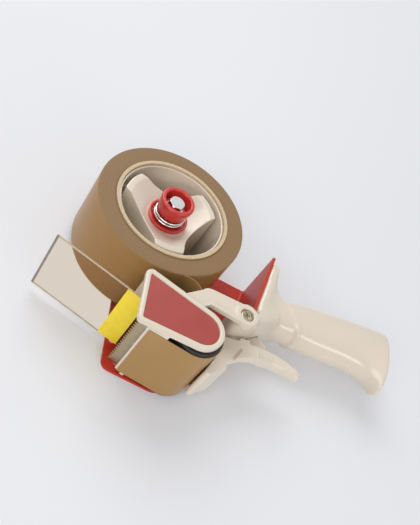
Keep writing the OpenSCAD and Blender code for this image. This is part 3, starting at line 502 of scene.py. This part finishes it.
# Tension knob: round dish of the same red plastic, on a short stem with a hole for the bolt.
# Its wall leans out to a rounded lip, and turning it squeezes the spring.
stem_r, bolt_hole_r, stem_height, floor_height = 7 * mm, 3.05 * mm, 3.6 * mm, 2.2 * mm
wall_lean, lip_height, lip_inset = 1.5 * mm, 1.2 * mm, 0.6 * mm
lip_width, wall_width = 3 * mm, 3.6 * mm
knob_low, knob_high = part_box("tension_knob")
knob_r = (knob_high.x - knob_low.x) / 2
stem_foot, knob_lip = knob_low.z, knob_high.z
knob_foot = stem_foot + stem_height
knob_floor = knob_foot + floor_height
knob = turned([(bolt_hole_r, stem_foot), (stem_r, stem_foot), (stem_r, knob_foot),
               (knob_r - wall_lean, knob_foot), (knob_r, knob_lip - lip_height),
               (knob_r - lip_inset, knob_lip), (knob_r - lip_width, knob_lip),
               (knob_r - wall_width, knob_floor), (bolt_hole_r, knob_floor)])
soften(knob, width=0.6 * mm, steps=4, least=30)
place(knob, "red_knob", red_gloss, "knob", "red_plastic", "tension_knob")


# Tension spring: bright steel wire in a little over two turns, between the cup and the knob.
# It stands in the cup, and the knob's travel squeezes it from 6.8 mm to 5.8 mm.
spring_wire, spring_turns = 1.5 * mm, 2.2
spring_foot, spring_top = 47.2 * mm, 54.0 * mm
spring_low, spring_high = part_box("tension_spring")
spring_r = (spring_high.x - spring_low.x) / 2 - spring_wire / 2
squeeze_coil = wound(spring_r, spring_wire, spring_turns, spring_foot, spring_top)
squeezed = place(squeeze_coil, "tension_coil", bright, "frame", "spring_steel", "tension_spring")
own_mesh(squeezed)


# Hub bolt and its washer: bright hexagon bolt through the stack, on a washer in the knob.
# Both are turned and polished, and the bolt's hexagon has rounded corners.
for node, name, body in (("bolt_washer", "polished_washer", "slider"),
                         ("hub_bolt", "polished_bolt", "knob")):
    shape = cad_shell(node, short=0.12 * mm)
    soften(shape, width=0.25 * mm, steps=3)
    level(place(shape, name, bright, body, "chrome", node))


# Floor: a plain pale table on which the part lies on its plate.
# Near the part it takes the shadow, and further off it fades into the pale backdrop.
# Polished and clear pieces see that backdrop in it, too.
def reckon(owner, how, *values):
    """A sum of numbers or node outputs in a material or a world, kept from 0 to 1."""
    result = owner.node_tree.nodes.new("ShaderNodeMath")
    result.operation, result.use_clamp = how, True
    for socket, value in zip(result.inputs, values):
        if isinstance(value, float):
            socket.default_value = value
        else:
            owner.node_tree.links.new(value, socket)
    return result.outputs["Value"]


pale_grey = seen(231, 232, 236)
table_half, shadow_reach, mirror_share = 6.0, 0.8, 0.35
table_top = bmesh.new()
bmesh.ops.create_grid(table_top, x_segments=2, y_segments=2, size=table_half)
table_mesh = bpy.data.meshes.new("table_top")
table_top.to_mesh(table_mesh)
table_top.free()
pale = finish("pale_table", pale_grey, roughness=0.9, Specular_IOR_Level=0.1)
table_nodes, table_links = pale.node_tree.nodes, pale.node_tree.links
spot = table_nodes.new("ShaderNodeTexCoord")
reach = table_nodes.new("ShaderNodeMapping")
reach.inputs["Scale"].default_value = (1 / shadow_reach, 1 / shadow_reach, 1)
near = table_nodes.new("ShaderNodeTexGradient")
near.gradient_type = "SPHERICAL"
table_links.new(spot.outputs["Object"], reach.inputs["Vector"])
table_links.new(reach.outputs["Vector"], near.inputs["Vector"])
ray = table_nodes.new("ShaderNodeLightPath")
far = reckon(pale, "SUBTRACT", 1.0, near.outputs["Fac"])
mirrored = reckon(pale, "MULTIPLY_ADD", ray.outputs["Is Glossy Ray"], mirror_share,
                  ray.outputs["Is Transmission Ray"])
direct = reckon(pale, "MULTIPLY_ADD", ray.outputs["Is Camera Ray"], far, mirrored)
backdrop = table_nodes.new("ShaderNodeEmission")
backdrop.inputs["Color"].default_value = pale_grey
both = table_nodes.new("ShaderNodeMixShader")
table_links.new(direct, both.inputs["Fac"])
table_links.new(table_nodes["Principled BSDF"].outputs["BSDF"], both.inputs[1])
table_links.new(backdrop.outputs["Emission"], both.inputs[2])
table_links.new(both.outputs["Shader"], table_nodes["Material Output"].inputs["Surface"])
table_mesh.materials.append(pale)
table = bpy.data.objects.new("table_top", table_mesh)
bpy.context.scene.collection.objects.link(table)


# Studio light: an even room, a large soft box overhead and two smaller ones in front.
# The room lights the part evenly from all round, and where it is seen, straight or in
# polished and clear pieces, it is as pale as the table.
room_strength = 0.42
room = bpy.data.worlds.new("studio")
room.use_nodes = True
room_nodes, room_links = room.node_tree.nodes, room.node_tree.links
even_light = room_nodes["Background"]
even_light.inputs["Color"].default_value = (1.0, 1.0, 1.0, 1.0)
even_light.inputs["Strength"].default_value = room_strength
pale_room = room_nodes.new("ShaderNodeBackground")
pale_room.inputs["Color"].default_value = pale_grey
way = room_nodes.new("ShaderNodeLightPath")
reflected = reckon(room, "ADD", way.outputs["Is Glossy Ray"], way.outputs["Is Transmission Ray"])
shown = reckon(room, "ADD", way.outputs["Is Camera Ray"], reflected)
room_mix = room_nodes.new("ShaderNodeMixShader")
room_links.new(shown, room_mix.inputs["Fac"])
room_links.new(even_light.outputs["Background"], room_mix.inputs[1])
room_links.new(pale_room.outputs["Background"], room_mix.inputs[2])
room_links.new(room_mix.outputs["Shader"], room_nodes["World Output"].inputs["Surface"])
bpy.context.scene.world = room
part_middle = Vector((0.06, -0.045, 0.03))


def soft_box(name, towards, distance, wide, high, watts):
    """A rectangular lamp that stands off the part's middle and faces it."""
    lamp = bpy.data.lights.new(name, "AREA")
    lamp.shape, lamp.size, lamp.size_y, lamp.energy = "RECTANGLE", wide, high, watts
    box = bpy.data.objects.new(name, lamp)
    out = Vector(towards).normalized()
    box.location = part_middle + out * distance
    box.rotation_mode = "QUATERNION"
    box.rotation_quaternion = (-out).to_track_quat("-Z", "Y")
    bpy.context.scene.collection.objects.link(box)


soft_box("overhead_box", (-0.22, 0.66, 0.72), distance=1.4, wide=1.0, high=1.0, watts=11)
soft_box("front_box", (-0.52, -0.60, 0.61), distance=1.3, wide=0.9, high=0.9, watts=6.2)
soft_box("right_box", (0.46, -0.85, 0.27), distance=1.1, wide=0.8, high=0.3, watts=2.7)


# Camera: the photograph's view, from above the handle's near side, with its own roll.
# Its place and lens are those at which the part's outlines fall as in the photograph.
eye = bpy.data.cameras.new("eye")
eye.sensor_width, eye.lens = 36.0, 54.86
eye.clip_start, eye.clip_end = 0.01, 50
right = Vector((0.8863, 0.0076, 0.4630)).normalized()
back = Vector((-0.3558, -0.6287, 0.6915)).normalized()
up = back.cross(right).normalized()
right = up.cross(back)
stand = Matrix((right, up, back)).transposed().to_4x4()
stand.translation = Vector((-156.3, -360.3, 413.8)) * mm
camera = bpy.data.objects.new("eye", eye)
camera.matrix_world = stand
bpy.context.scene.collection.objects.link(camera)
bpy.context.scene.camera = camera
bpy.context.scene.view_settings.view_transform = "Standard"
